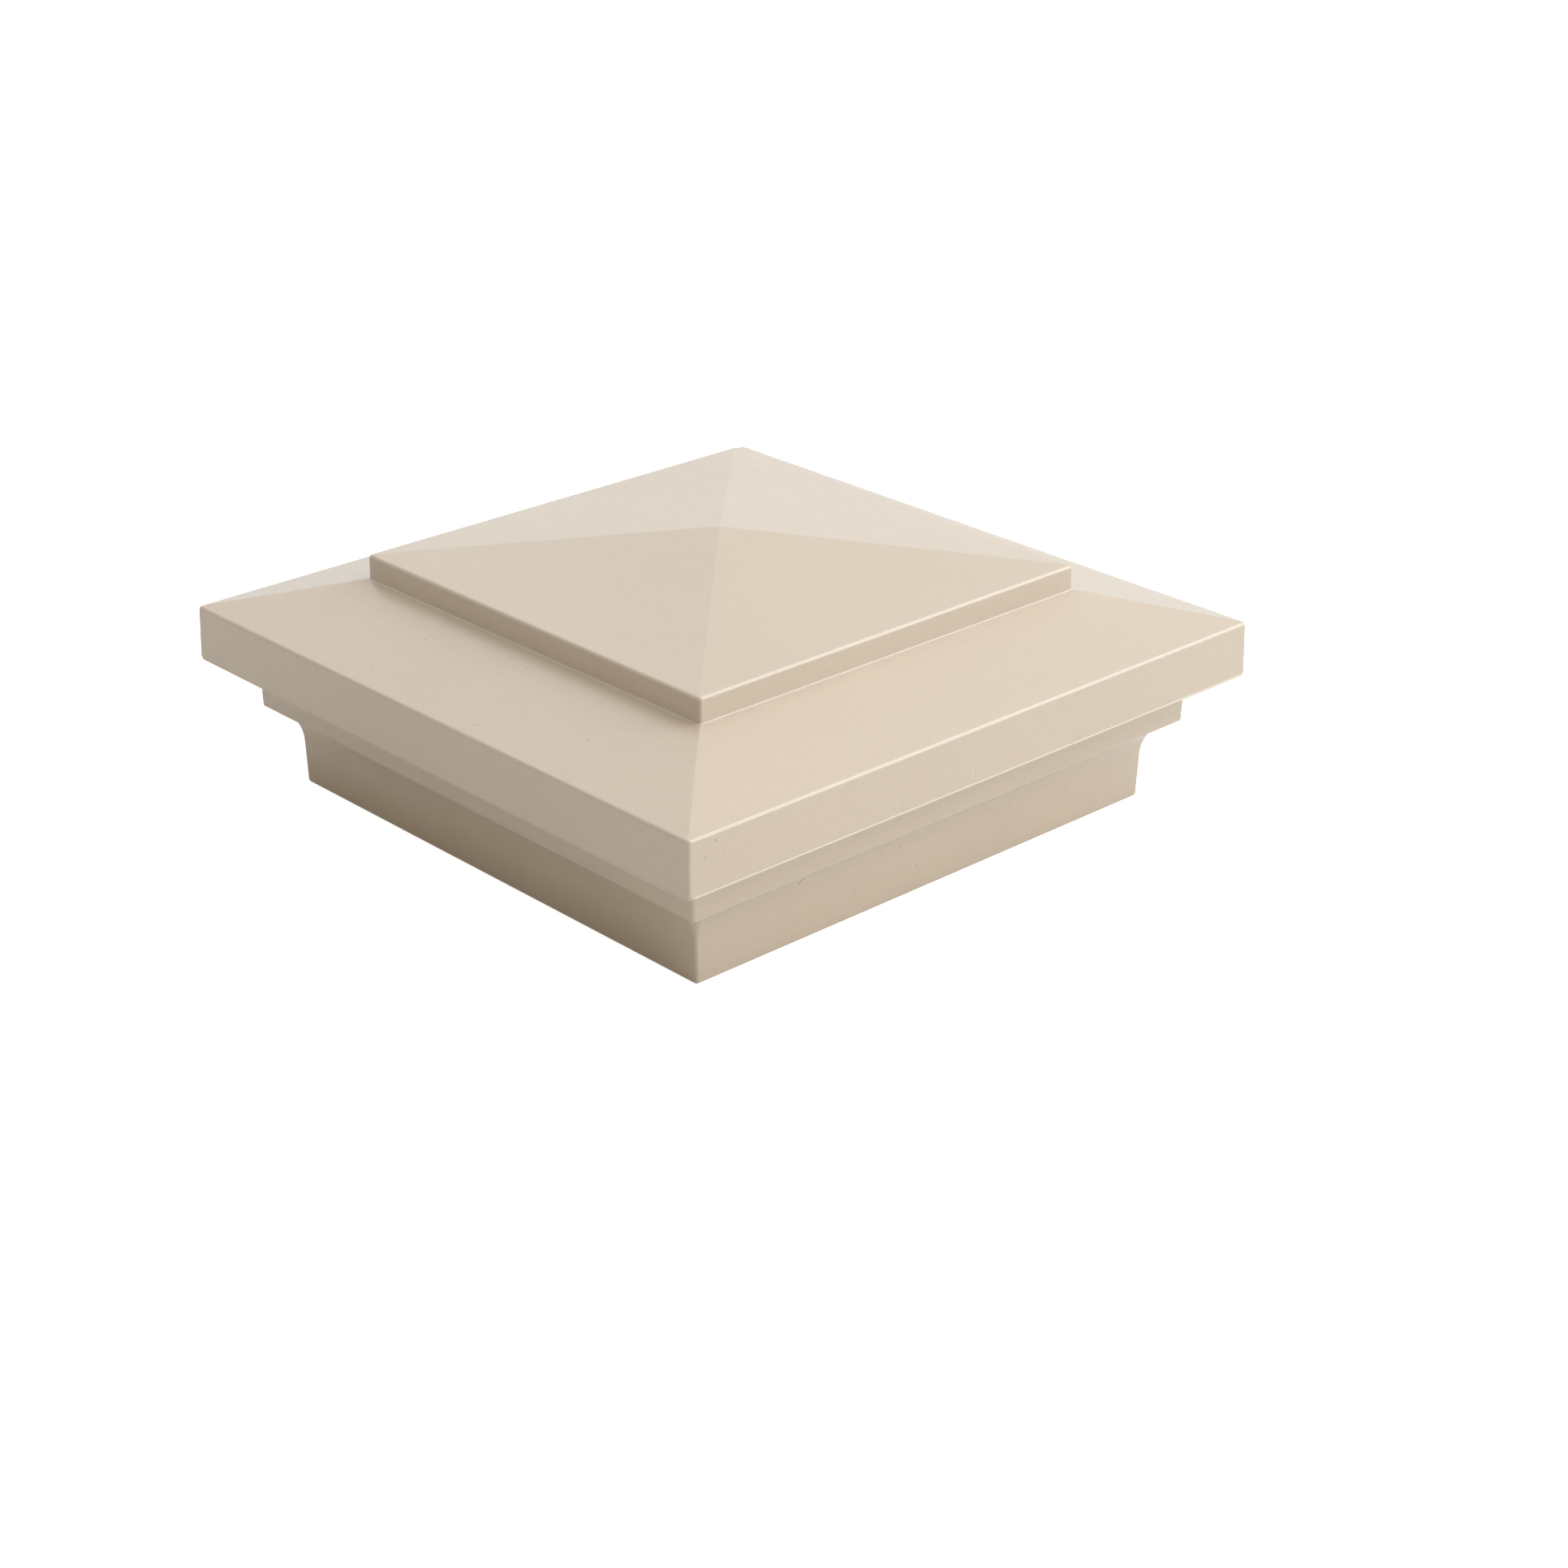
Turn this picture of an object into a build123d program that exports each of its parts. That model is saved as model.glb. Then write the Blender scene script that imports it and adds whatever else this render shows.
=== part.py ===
"""Vinyl cap for a square post: one hollow moulding with two roofs, a fascia, a bed moulding and a collar.

Millimetres, +Z up. The origin is the centre of the collar's rim, which is the plane Z = 0. The cap is four
times alike about the Z axis, so every tier is a square that is given by its half width and its height.
"""

import os
from math import acos, cos, pi, radians, sin, tan

from build123d import *

# The post, and the way it sits in the cap
post_width = 127.0
post_clearance = 0.8
post_reach = 25.0

# The shell
wall = 2.5
inner_corner_radius = 1.2

# Collar, which goes over the post
collar_height = 18.5
collar_draft = 1.7
rim_lead_in = 0.5

# Cove between the collar and the underside of the bed moulding
cove_height = 8.5
cove_depth = 5.3

# Bed moulding, under the fascia
bed_ledge = 0.95
bed_height = 11.5
bed_draft = 1.5

# Fascia, the widest tier, with a bead below the mould's parting line
fascia_projection = 9.15
fascia_height = 12.55
fascia_draft = 1.2
bead_radius = 0.33
bead_stands_out = 0.12
bead_corner_radius = 1.8
bead_flats = 4

# Lower roof, band and upper roof
lower_roof_run = 27.4
lower_roof_pitch = 14.85
band_height = 5.65
band_draft = 0.4
band_foot_radius = 0.35
upper_roof_pitch = 8.08

# Rounding of the outside edges, above the parting line and below it
edge_radius = 0.85
lower_edge_radius = 0.7

# Ribs inside, whose lower edges stop the post
rib_thickness = 2.0
rib_ledge = 4.0
rib_spacing = 76.0


def lean(angle, run):
    """Travel square to a run, along a face that leans from it by an angle."""
    return run * tan(radians(angle))


def drop(pitch):
    """Height of the shell under a roof of that pitch, measured plumb."""
    return wall / cos(radians(pitch))


def square(half, height, corner=0.0):
    """Square about the Z axis at a height, with sharp or rounded corners."""
    with BuildSketch(Plane.XY.offset(height)) as outline:
        if corner > 0:
            RectangleRounded(2 * half, 2 * half, corner)
        else:
            Rectangle(2 * half, 2 * half)
    return outline.sketch


# Heights, from the rim up
cove_foot_z = collar_height - cove_height
soffit_z = collar_height
fascia_foot_z = soffit_z + bed_height
eave_z = fascia_foot_z + fascia_height
band_foot_z = eave_z + lean(lower_roof_pitch, lower_roof_run)
band_top_z = band_foot_z + band_height

# Half widths, from the post out
bore_half = post_width / 2 + post_clearance
rim_half = bore_half + wall
cove_foot_half = rim_half + lean(collar_draft, cove_foot_z)
bed_foot_half = cove_foot_half + cove_depth + bed_ledge
bed_top_half = bed_foot_half + lean(bed_draft, bed_height)
fascia_foot_half = bed_top_half + fascia_projection
eave_half = fascia_foot_half - lean(fascia_draft, fascia_height)
band_foot_half = eave_half - lower_roof_run
band_top_half = band_foot_half - lean(band_draft, band_height)
apex_z = band_top_z + lean(upper_roof_pitch, band_top_half)

# The bead is an arc that stands out from the fascia and ends on it, at the parting line
bead_end = acos(1 - bead_stands_out / bead_radius)
parting_z = fascia_foot_z + bead_radius * (1 + sin(bead_end))
parting_half = fascia_foot_half - lean(fascia_draft, parting_z - fascia_foot_z)
bead_half = parting_half + bead_stands_out

# The cove is an arc that leaves the collar smoothly and meets the soffit at an angle
cove_radius = (cove_depth**2 + cove_height**2) / (2 * cove_depth)
cove_centre_half = cove_foot_half + cove_radius
cove_top_z = cove_foot_z + cove_radius


def tier(low_half, low_z, high_half, high_z):
    """Add a tier with four flat sides between two squares."""
    step = low_half - high_half
    far = low_half + high_half
    with Locations((0, 0, low_z)):
        Wedge(2 * low_half, high_z - low_z, 2 * low_half, step, step, far, far, rotation=(90, 0, 0),
              align=(Align.CENTER, Align.MIN, Align.CENTER))


def rounded_tier(low_half, low_z, high_half, high_z, corner):
    """Add a tier between two squares with rounded corners."""
    loft(sections=[square(low_half, low_z, corner), square(high_half, high_z, corner)])


def roof(half, foot_z, top_z, corner=0.0):
    """Add a roof with four flat slopes on a square."""
    loft(sections=[square(half, foot_z, corner), Vertex(0, 0, top_z)])


def end_in_cove(shaft, radius, end_z):
    """Round the inner corner between a shaft and a wide plate on its top, and keep what is below a height."""
    top_z = shaft.part.bounding_box().max.Z
    extrude(square(2 * bore_half, top_z), amount=wall)
    underside = shaft.faces().filter_by(Axis.Z).sort_by(Axis.Z)[-2]
    fillet(underside.inner_wires()[0].edges(), radius)
    split(bisect_by=Plane.XY.offset(end_z), keep=Keep.BOTTOM)


# Collar and cove, outside
with BuildPart() as collar:
    tier(rim_half, 0, rim_half + lean(collar_draft, cove_top_z), cove_top_z)
    fillet(collar.edges().group_by(Axis.Z)[:-1], lower_edge_radius)
    end_in_cove(collar, cove_radius, soffit_z)

# Bed moulding, outside
with BuildPart() as bed:
    tier(bed_foot_half, soffit_z, bed_top_half, fascia_foot_z)
    fillet(bed.edges().group_by(Axis.Z)[:-1], lower_edge_radius)

# Bead along the foot of the fascia, below the parting line. It is so fine that narrow flats make its arc
bead_sections = []
for step in range(bead_flats + 1):
    angle = -pi / 2 + (bead_end + pi / 2) * step / bead_flats
    inset = bead_radius * (1 - cos(angle))
    bead_sections.append(square(bead_half - inset, fascia_foot_z + bead_radius * (1 + sin(angle)),
                                bead_corner_radius - inset))
with BuildPart() as bead:
    loft(sections=bead_sections, ruled=True)

# Fascia and lower roof. The roof runs on into the band, so that its hips end inside
with BuildPart() as fascia:
    tier(parting_half, parting_z, eave_half, eave_z)
    tier(eave_half, eave_z, band_foot_half - wall, band_foot_z + lean(lower_roof_pitch, wall))
    fillet(fascia.edges().group_by(Axis.Z)[1:-1], edge_radius)

# Band and upper roof. The band starts inside the lower roof
with BuildPart() as crown:
    tier(band_foot_half + lean(band_draft, wall), band_foot_z - wall, band_top_half, band_top_z)
    roof(band_top_half, band_top_z, apex_z)
    fillet(crown.edges().group_by(Axis.Z)[1:], edge_radius)


def at_band_foot(edge):
    """Whether an edge runs where the band stands on the lower roof."""
    centre = edge.center()
    reach = max(abs(centre.X), abs(centre.Y))
    return abs(centre.Z - band_foot_z) < edge_radius / 2 and abs(reach - band_foot_half) < edge_radius


# The whole outside, with the inner corner at the foot of the band filled
with BuildPart() as outside:
    add([collar.part, bed.part, bead.part, fascia.part, crown.part])
    fillet(outside.edges().filter_by(at_band_foot), band_foot_radius)

# The hollow follows the outside's section at the wall's distance, over a straight bore for the post
inner_cove_radius = cove_centre_half - bore_half
inner_bed_half = bed_foot_half - wall
inner_cove_end = acos((cove_centre_half - inner_bed_half) / inner_cove_radius)
inner_cove_top_z = cove_foot_z + inner_cove_radius * sin(inner_cove_end)
inner_floor_z = fascia_foot_z + wall
inner_eave_half = eave_half - wall
inner_eave_z = eave_z + lean(lower_roof_pitch, wall) - drop(lower_roof_pitch)
inner_band_half = band_foot_half - wall
inner_band_foot_z = band_foot_z + lean(lower_roof_pitch, wall) - drop(lower_roof_pitch)
inner_band_top_z = band_top_z + lean(upper_roof_pitch, wall) - drop(upper_roof_pitch)
inner_tiers = [
    (inner_bed_half, inner_cove_top_z, bed_top_half - wall, inner_floor_z),
    (fascia_foot_half - wall, inner_floor_z, inner_eave_half, inner_eave_z),
    (inner_eave_half, inner_eave_z, inner_band_half, inner_band_foot_z),
    (inner_band_half, inner_band_foot_z, band_top_half - wall, inner_band_top_z),
]
with BuildPart() as hollow:
    extrude(square(bore_half, 0, inner_corner_radius), amount=cove_foot_z + inner_cove_radius)
    end_in_cove(hollow, inner_cove_radius, inner_cove_top_z)
    for low_half, low_z, high_half, high_z in inner_tiers:
        rounded_tier(low_half, low_z, high_half, high_z, inner_corner_radius)
    roof(band_top_half - wall, inner_band_top_z, apex_z - drop(upper_roof_pitch), inner_corner_radius)
    # Slots in the hollow leave the ribs: plates behind the bore, which step in under the post's end
    for slot_half, slot_z in ((bore_half, cove_foot_z), (post_width / 2 - rib_ledge, post_reach)):
        with BuildSketch(Plane.XY.offset(slot_z)):
            with PolarLocations(slot_half, 4):
                with GridLocations(0, rib_spacing, 1, 2):
                    Rectangle(eave_half, rib_thickness, align=(Align.MIN, Align.CENTER))
        extrude(amount=apex_z - slot_z, mode=Mode.SUBTRACT)

# The cap
with BuildPart() as post_cap:
    add(outside.part)
    add(hollow.part, mode=Mode.SUBTRACT)
    rim_face = post_cap.faces().sort_by(Axis.Z)[0]
    chamfer(rim_face.inner_wires()[0].edges(), rim_lead_in)

post_cap.part.label = "post_cap"
os.makedirs("parts", exist_ok=True)
export_step(post_cap.part, "parts/post_cap.step")
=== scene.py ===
"""Looks of the vinyl post cap: beige satin vinyl, plain studio light, and the photograph's camera.

The cap is one moulding, so its own solid is shown, with a material that is worked out from the place on
the object. Lengths are metres in the part's own frame, and millimetres where a name says so. Angles are
degrees.
"""

from math import radians

import bpy
from mathutils import Matrix, Vector


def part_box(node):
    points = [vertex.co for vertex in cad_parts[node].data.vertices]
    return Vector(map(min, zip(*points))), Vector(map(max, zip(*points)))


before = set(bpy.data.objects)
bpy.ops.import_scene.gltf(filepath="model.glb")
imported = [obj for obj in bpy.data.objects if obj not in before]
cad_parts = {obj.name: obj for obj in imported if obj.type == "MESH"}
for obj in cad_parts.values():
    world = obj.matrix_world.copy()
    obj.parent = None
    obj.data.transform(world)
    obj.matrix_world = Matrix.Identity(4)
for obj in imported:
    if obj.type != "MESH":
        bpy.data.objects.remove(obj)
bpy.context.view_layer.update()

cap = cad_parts["post_cap"]
cap_low, cap_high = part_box("post_cap")
centre = (cap_low + cap_high) / 2

mm_per_metre = 1000

# Camera: place, heading from +Y towards -X, tilt below the horizon, roll, lens on a 36 mm sensor, and
# nearest distance that it sees
camera_place = (0.48352, -0.43441, 0.30054)
camera_heading = 46.791
camera_tilt = 24.741
camera_roll = 0.219
camera_lens_mm = 72.14
camera_near = 0.05

# Colours, linear
white = (1.0, 1.0, 1.0)
vinyl_colour = (0.57, 0.462, 0.342)
dirt_colour = (0.19, 0.095, 0.06)
rubbed_colour = (0.52, 0.35, 0.26)
# Pale marks, and the painted highlight where small flash bits at the front corner catch the light
pale_mark_and_highlight_colour = (0.74, 0.67, 0.58)

# Surface of the vinyl, which has a thin glossy skin on a satin body
body_roughness = 0.42
body_index = 1.5
skin_weight = 1.0
skin_roughness = 0.25
skin_index = 1.55

# Unevenness of the vinyl: noises of a size and a detail, and the range that most of a noise lies in
roughness_patch_mm = 6.0
roughness_patch_detail = 3
roughness_change = 0.03
cloud_size_mm = 55.0
cloud_detail = 2
cloud_depth = 0.018
mottle_size_mm = 1.8
mottle_detail = 4
mottle_depth = 0.012
peel_size_mm = 1.3
peel_detail = 1
peel_height_mm = 0.004
noise_low = 0.3
noise_high = 0.7

# Tiny specks all over, of which a share is seen
tiny_speck_spacing_mm = 3.2
tiny_speck_radius_mm = 0.17
tiny_speck_share = 0.3

# Share of a mark's half width that has its full strength, before it fades out
mark_core = 1 / 2
ring_core = 1 / 3

# Specks of dirt on the photographed cap, clear and faint
clear_specks_mm = [
    (-22.8, -64.1, 47.4),
    (6.7, -60.1, 48.5),
    (0.0, -58.8, 48.8),
    (-72.5, -77.8, 43.8),
    (-24.6, -77.1, 44.0),
    (38.8, -70.3, 45.8),
    (67.5, -10.1, 12.6),
    (67.0, -4.4, 6.2),
    (82.6, -78.2, 38.0),
    (82.6, -75.6, 40.9),
]
faint_specks_mm = [
    (73.4, 17.7, 21.7),
    (67.5, 23.4, 12.6),
    (67.1, 42.5, 9.5),
    (73.4, -0.1, 19.4),
    (82.6, -36.2, 40.4),
    (82.75, -55.8, 32.3),
    (82.65, -73.3, 37.0),
    (67.2, -19.8, 11.0),
    (69.0, -82.7, 34.9),
    (-39.7, -65.3, 47.1),
    (11.2, -67.9, 46.4),
    (33.9, -68.5, 46.3),
    (42.8, -80.9, 43.0),
    (-20.1, -55.1, 52.8),
    (23.7, -55.1, 53.9),
]
clear_speck_radius_mm = 0.26
clear_speck_strength = 0.6
faint_speck_radius_mm = 0.22
faint_speck_strength = 0.35

# Strokes on the photographed cap, in millimetres: points, half width and strength. A bump's strength is its
# height, and a dent's is its depth
dirt_strokes = [
    ([(68.7, -39.0, 15.2), (68.3, -39.7, 14.8), (68.1, -39.8, 14.0)], 0.22, 1.0),
    ([(13.2, -79.5, 43.4), (13.5, -78.8, 43.6), (14.1, -78.6, 43.6)], 0.17, 0.45),
]
rubbed_strokes = [
    ([(-77.1, -82.7, 32.5), (-74.8, -82.7, 32.0), (-72.4, -82.7, 32.5)], 0.5, 0.3),
    ([(67.0, -22.4, 6.6), (66.9, -23.0, 5.0)], 0.16, 0.6),
    ([(67.1, -22.8, 10.8), (67.1, -23.2, 9.8)], 0.2, 0.25),
    ([(73.4, -31.7, 20.6), (73.4, -30.5, 20.3)], 0.2, 0.25),
    ([(82.6, -50.0, 38.0), (82.6, -50.5, 37.3), (82.6, -50.1, 36.6)], 0.25, 0.2),
]
# Pale strokes: pale marks on the fascias, and at the front corner a painted highlight on small flash bits
pale_mark_and_highlight_strokes = [
    ([(67.9, -82.7, 38.4), (70.4, -82.7, 36.4), (72.8, -82.7, 35.1), (76.0, -82.7, 35.4)], 0.12, 0.2),
    ([(78.5, -82.7, 36.7), (81.5, -82.7, 36.7)], 0.12, 0.25),
    ([(82.7, -4.9, 33.3), (82.7, -4.5, 33.9)], 0.2, 0.5),
    # From here on, painted highlights where the front corner's flash bits catch the light
    ([(81.6, -82.6, 41.2), (82.0, -82.6, 40.9), (81.6, -82.6, 40.2)], 0.15, 0.5),
    ([(82.3, -82.5, 37.0), (82.6, -82.2, 36.8)], 0.15, 0.6),
    ([(82.1, -82.7, 30.8), (82.5, -82.6, 31.1)], 0.15, 0.6),
]
bump_strokes = [
    ([(82.8, 27.3, 31.3), (82.8, 27.8, 31.8), (82.8, 28.3, 31.4)], 0.3, 0.08),
    ([(73.4, 20.9, 19.6), (73.4, 21.3, 19.8)], 0.35, 0.06),
]
dent_strokes = [
    ([(82.7, -25.6, 33.3), (82.8, -25.6, 30.8)], 0.15, 0.05),
]

# Small rubbed ring on the fascia
ring_centre_mm = (82.8, -31.3, 30.9)
ring_radius_mm = 0.8
ring_half_width_mm = 0.16
ring_strength = 0.35

# Even light from all round
ambient_light = (0.36, 0.342, 0.315)

# Floor, which gives off some light of its own where the camera sees it
floor_size = 6.0
floor_tone = 0.95
floor_seen_light = 0.8

# Lamps, square and soft: name, direction they stand in (azimuth from +X, elevation), watts, colour
lamp_distance = 1.2
lamp_size = 1.25
key_colour = (0.88, 0.94, 1.0)
lamps = [
    ("key_right", 45, 32, 14.6, key_colour),
    ("overhead", 0, 88, 3.0, white),
    ("far_right", 90, 60, 1.5, white),
    ("far_left", 180, 60, 2.3, white),
]


def opaque(colour):
    """A colour as a socket takes it, with its alpha."""
    return (*colour, 1)


class Nodes:
    """The node tree of a material or a world, with short ways to add what is used here."""

    def __init__(self, owner):
        owner.use_nodes = True
        self.tree = owner.node_tree
        self.tree.nodes.clear()

    def add(self, kind, **settings):
        """A new node of a kind."""
        node = self.tree.nodes.new(kind)
        for name, value in settings.items():
            setattr(node, name, value)
        return node

    def feed(self, socket, value):
        """Give an input a number, a vector, or another node's output."""
        if isinstance(value, bpy.types.NodeSocket):
            self.tree.links.new(value, socket)
        else:
            socket.default_value = value

    def math(self, operation, first, second=0.0, clamp=False):
        """A calculation on numbers, which can be kept between 0 and 1."""
        node = self.add("ShaderNodeMath", operation=operation, use_clamp=clamp)
        self.feed(node.inputs[0], first)
        self.feed(node.inputs[1], second)
        return node.outputs[0]

    def vector(self, operation, first, second):
        """A calculation on two vectors, which gives a vector or, for some kinds, a number."""
        node = self.add("ShaderNodeVectorMath", operation=operation)
        self.feed(node.inputs[0], first)
        self.feed(node.inputs[1], second)
        gives_number = operation in ("DISTANCE", "DOT_PRODUCT")
        return node.outputs["Value" if gives_number else "Vector"]

    def scaled(self, vector, factor):
        """A vector times a number."""
        node = self.add("ShaderNodeVectorMath", operation="SCALE")
        self.feed(node.inputs[0], vector)
        self.feed(node.inputs["Scale"], factor)
        return node.outputs["Vector"]

    def ramp(self, value, start, end, start_to=0.0, end_to=1.0):
        """A smooth change from one number to another over a range."""
        node = self.add("ShaderNodeMapRange", interpolation_type="SMOOTHSTEP")
        for name, number in (("Value", value), ("From Min", start), ("From Max", end),
                             ("To Min", start_to), ("To Max", end_to)):
            self.feed(node.inputs[name], number)
        return node.outputs["Result"]

    def noise(self, place, size, detail):
        """A smooth noise between 0 and 1."""
        node = self.add("ShaderNodeTexNoise")
        self.feed(node.inputs["Vector"], place)
        self.feed(node.inputs["Scale"], 1 / size)
        self.feed(node.inputs["Detail"], detail)
        return node.outputs["Fac"]

    def spread(self, noise, middle, change):
        """A number that a noise moves up and down from its middle."""
        return self.ramp(noise, noise_low, noise_high, middle - change, middle + change)

    def mixed(self, share, first, second):
        """A colour between two."""
        node = self.add("ShaderNodeMix", data_type="RGBA")
        self.feed(node.inputs["Factor"], share)
        self.feed(node.inputs["A"], first)
        self.feed(node.inputs["B"], second)
        return node.outputs["Result"]


def add_camera():
    """The photograph's camera."""
    data = bpy.data.cameras.new("camera")
    data.lens = camera_lens_mm
    data.clip_start = camera_near
    camera = bpy.data.objects.new("camera", data)
    turn = Matrix.Rotation(radians(camera_heading), 4, "Z")
    tilt = Matrix.Rotation(radians(90 - camera_tilt), 4, "X")
    roll = Matrix.Rotation(radians(camera_roll), 4, "Z")
    camera.matrix_world = Matrix.Translation(camera_place) @ turn @ tilt @ roll
    bpy.context.scene.collection.objects.link(camera)
    bpy.context.scene.camera = camera


def add_lamp(name, azimuth, elevation, watts, colour):
    """A square soft lamp that faces the cap."""
    data = bpy.data.lights.new(name, "AREA")
    data.shape = "SQUARE"
    data.size = lamp_size
    data.energy = watts
    data.color = colour
    lamp = bpy.data.objects.new(name, data)
    swing = Matrix.Rotation(radians(azimuth), 3, "Z")
    raise_up = Matrix.Rotation(-radians(elevation), 3, "Y")
    away = swing @ raise_up @ Vector((1, 0, 0))
    lamp.location = centre + lamp_distance * away
    lamp.rotation_mode = "QUATERNION"
    lamp.rotation_quaternion = away.to_track_quat("Z", "Y")
    bpy.context.scene.collection.objects.link(lamp)


def add_world():
    """White where it is seen or mirrored, and an even grey light for the rest."""
    world = bpy.data.worlds.new("studio")
    bpy.context.scene.world = world
    nodes = Nodes(world)
    path = nodes.add("ShaderNodeLightPath")
    seen = nodes.math("MAXIMUM", path.outputs["Is Camera Ray"], path.outputs["Is Glossy Ray"])
    backdrop = nodes.add("ShaderNodeBackground")
    nodes.feed(backdrop.inputs["Color"], nodes.mixed(seen, opaque(ambient_light), opaque(white)))
    nodes.feed(backdrop.inputs["Strength"], 1.0)
    out = nodes.add("ShaderNodeOutputWorld")
    nodes.feed(out.inputs["Surface"], backdrop.outputs[0])


def floor_material():
    """Matte white, which looks white where the camera sees it and keeps the cap's shadow."""
    material = bpy.data.materials.new("floor")
    nodes = Nodes(material)
    path = nodes.add("ShaderNodeLightPath")
    diffuse = nodes.add("ShaderNodeBsdfDiffuse")
    nodes.feed(diffuse.inputs["Color"], opaque((floor_tone, floor_tone, floor_tone)))
    seen_light = nodes.math("MULTIPLY", path.outputs["Is Camera Ray"], floor_seen_light)
    glow = nodes.add("ShaderNodeEmission")
    nodes.feed(glow.inputs["Color"], opaque(white))
    nodes.feed(glow.inputs["Strength"], seen_light)
    both = nodes.add("ShaderNodeAddShader")
    nodes.feed(both.inputs[0], diffuse.outputs[0])
    nodes.feed(both.inputs[1], glow.outputs[0])
    out = nodes.add("ShaderNodeOutputMaterial")
    nodes.feed(out.inputs["Surface"], both.outputs[0])
    return material


def add_floor():
    """The plain floor that the cap stands on."""
    half = floor_size / 2
    corners = [(-half, -half), (half, -half), (half, half), (-half, half)]
    mesh = bpy.data.meshes.new("floor")
    mesh.from_pydata([(x, y, cap_low.z) for x, y in corners], [], [(0, 1, 2, 3)])
    floor = bpy.data.objects.new("floor", mesh)
    bpy.context.scene.collection.objects.link(floor)
    mesh.materials.append(floor_material())


def drawn(nodes, place, strokes):
    """Where a surface is near any of some lines: the line's strength on it, and 0 beside it."""
    share = 0.0
    for points, half_width, strength in strokes:
        for start, end in zip(points, points[1:]):
            run = Vector(end) - Vector(start)
            from_start = nodes.vector("SUBTRACT", place, start)
            along = nodes.vector("DOT_PRODUCT", from_start, run / run.length_squared)
            nearest = nodes.scaled(run, nodes.math("ADD", along, 0.0, clamp=True))
            gap = nodes.vector("DISTANCE", from_start, nearest)
            near = nodes.ramp(gap, half_width * mark_core, half_width, strength, 0.0)
            share = nodes.math("MAXIMUM", share, near)
    return share


def dotted(nodes, place, centres, radius, strength):
    """Where a surface is near any of some points."""
    share = 0.0
    for point in centres:
        gap = nodes.vector("DISTANCE", place, point)
        near = nodes.ramp(gap, radius * mark_core, radius, strength, 0.0)
        share = nodes.math("MAXIMUM", share, near)
    return share


def ringed(nodes, place):
    """Where a surface is near the small ring."""
    from_centre = nodes.vector("DISTANCE", place, ring_centre_mm)
    gap = nodes.math("ABSOLUTE", nodes.math("SUBTRACT", from_centre, ring_radius_mm))
    return nodes.ramp(gap, ring_half_width_mm * ring_core, ring_half_width_mm, ring_strength, 0.0)


def scattered_specks(nodes, place):
    """Tiny specks all over, of which a share is seen."""
    cells = nodes.add("ShaderNodeTexVoronoi")
    nodes.feed(cells.inputs["Vector"], place)
    nodes.feed(cells.inputs["Scale"], 1 / tiny_speck_spacing_mm)
    parts = nodes.add("ShaderNodeSeparateColor")
    nodes.feed(parts.inputs[0], cells.outputs["Color"])
    radius = tiny_speck_radius_mm / tiny_speck_spacing_mm
    dot = nodes.ramp(cells.outputs["Distance"], radius * mark_core, radius, 1.0, 0.0)
    chosen = nodes.math("LESS_THAN", parts.outputs[0], tiny_speck_share)
    depth = nodes.math("MULTIPLY", chosen, parts.outputs[1])
    return nodes.math("MULTIPLY", dot, depth)


def vinyl_base(nodes, place):
    """The vinyl's colour with faint clouds and mottle, before any mark."""
    clouds = nodes.spread(nodes.noise(place, cloud_size_mm, cloud_detail), 1.0, cloud_depth)
    mottle = nodes.spread(nodes.noise(place, mottle_size_mm, mottle_detail), 1.0, mottle_depth)
    plain = nodes.add("ShaderNodeHueSaturation")
    nodes.feed(plain.inputs["Color"], opaque(vinyl_colour))
    nodes.feed(plain.inputs["Value"], nodes.math("MULTIPLY", clouds, mottle))
    return plain.outputs[0]


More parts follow.
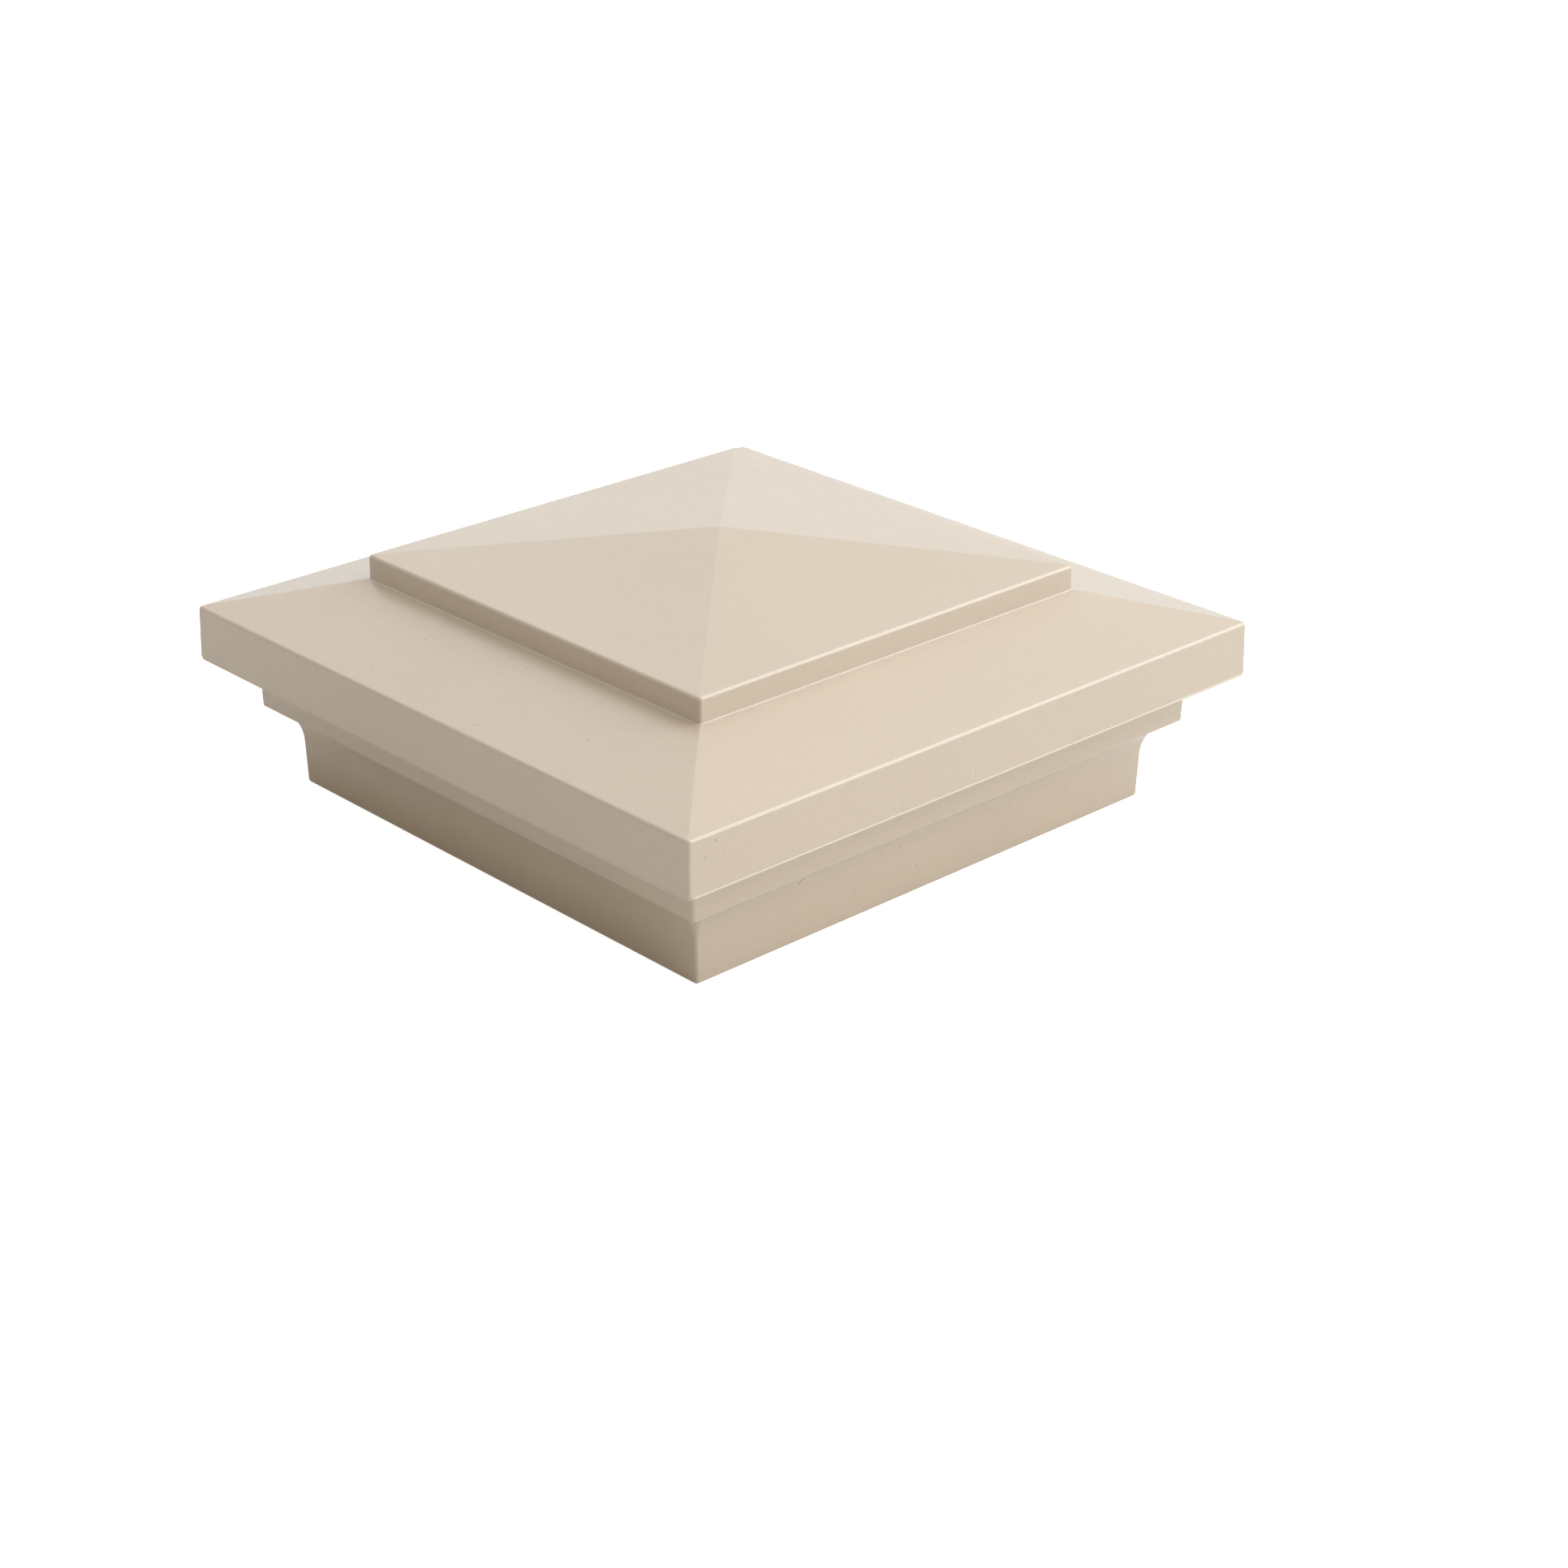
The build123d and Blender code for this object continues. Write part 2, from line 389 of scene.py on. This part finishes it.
def vinyl_colours(nodes, place):
    """The vinyl's colour with the marks of handling, and a painted highlight on the small flash bits at the
    front corner.
    """
    rubbed = nodes.math("MAXIMUM", drawn(nodes, place, rubbed_strokes), ringed(nodes, place))
    # Pale marks, with the painted highlight of the front corner's flash bits
    pale_and_highlight = drawn(nodes, place, pale_mark_and_highlight_strokes)
    dirt = nodes.math("MAXIMUM", drawn(nodes, place, dirt_strokes), scattered_specks(nodes, place))
    for specks in ((clear_specks_mm, clear_speck_radius_mm, clear_speck_strength),
                   (faint_specks_mm, faint_speck_radius_mm, faint_speck_strength)):
        dirt = nodes.math("MAXIMUM", dirt, dotted(nodes, place, *specks))
    colour = nodes.mixed(rubbed, vinyl_base(nodes, place), opaque(rubbed_colour))
    colour = nodes.mixed(pale_and_highlight, colour, opaque(pale_mark_and_highlight_colour))
    return nodes.mixed(dirt, colour, opaque(dirt_colour))


def vinyl_relief(nodes, place):
    """The shading normal of a faint orange peel, with the small bumps and dents of handling."""
    peel = nodes.noise(place, peel_size_mm, peel_detail)
    height = nodes.math("MULTIPLY", peel, peel_height_mm)
    height = nodes.math("ADD", height, drawn(nodes, place, bump_strokes))
    height = nodes.math("SUBTRACT", height, drawn(nodes, place, dent_strokes))
    bump = nodes.add("ShaderNodeBump")
    nodes.feed(bump.inputs["Height"], height)
    nodes.feed(bump.inputs["Distance"], 1 / mm_per_metre)
    return bump.outputs[0]


def vinyl_material():
    """Satin moulded vinyl."""
    material = bpy.data.materials.new("beige_vinyl")
    nodes = Nodes(material)
    place = nodes.scaled(nodes.add("ShaderNodeTexCoord").outputs["Object"], mm_per_metre)
    relief = vinyl_relief(nodes, place)
    patches = nodes.noise(place, roughness_patch_mm, roughness_patch_detail)
    roughness = nodes.spread(patches, body_roughness, roughness_change)
    shader = nodes.add("ShaderNodeBsdfPrincipled")
    nodes.feed(shader.inputs["Base Color"], vinyl_colours(nodes, place))
    nodes.feed(shader.inputs["Roughness"], roughness)
    nodes.feed(shader.inputs["IOR"], body_index)
    nodes.feed(shader.inputs["Normal"], relief)
    nodes.feed(shader.inputs["Coat Weight"], skin_weight)
    nodes.feed(shader.inputs["Coat Roughness"], skin_roughness)
    nodes.feed(shader.inputs["Coat IOR"], skin_index)
    nodes.feed(shader.inputs["Coat Normal"], relief)
    out = nodes.add("ShaderNodeOutputMaterial")
    nodes.feed(out.inputs["Surface"], shader.outputs[0])
    return material


def dress(node, material):
    """Give a CAD node its material."""
    node.data.materials.clear()
    node.data.materials.append(material)


bpy.context.scene.view_settings.view_transform = "Standard"
add_camera()
add_world()
add_floor()
for lamp in lamps:
    add_lamp(*lamp)
dress(cap, vinyl_material())
